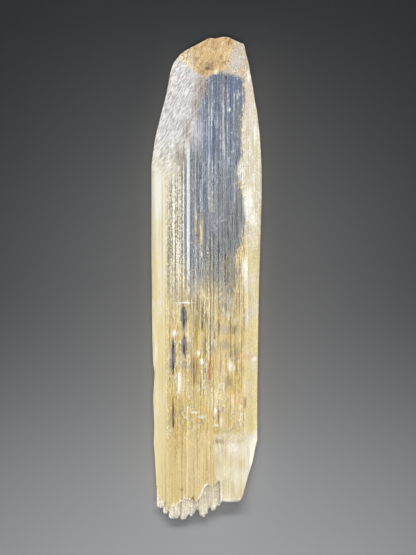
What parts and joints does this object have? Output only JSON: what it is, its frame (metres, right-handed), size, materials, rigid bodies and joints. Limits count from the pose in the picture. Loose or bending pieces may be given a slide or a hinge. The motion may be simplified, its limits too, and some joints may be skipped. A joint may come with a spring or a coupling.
{
  "type": "kunzite crystal",
  "caption": "Long flattened kunzite blade, striated lengthwise, with a chisel-shaped natural end, a frosted slanting flank and an etched, fingered broken end, lying flat.",
  "frame": {"origin": "middle of the bounding box's underside, on the plane the crystal's broad back face rests on", "axes": "+Y along the blade, from the broken fingered end to the chisel-shaped end; +Z out of the front face, up when the blade lies flat; +X across the blade, to the right when it is seen from +Z with +Y up the page"},
  "size_m": [0.0276, 0.1215, 0.0119],
  "materials": {
    "kunzite_crystal": "clear to cloudy crystal with a faint straw tint, glossy on the striated faces and frosted on the slanting end faces"
  },
  "bodies": {
    "root": {"kunzite_crystal": "kunzite_crystal"}
  },
  "joints": []
}
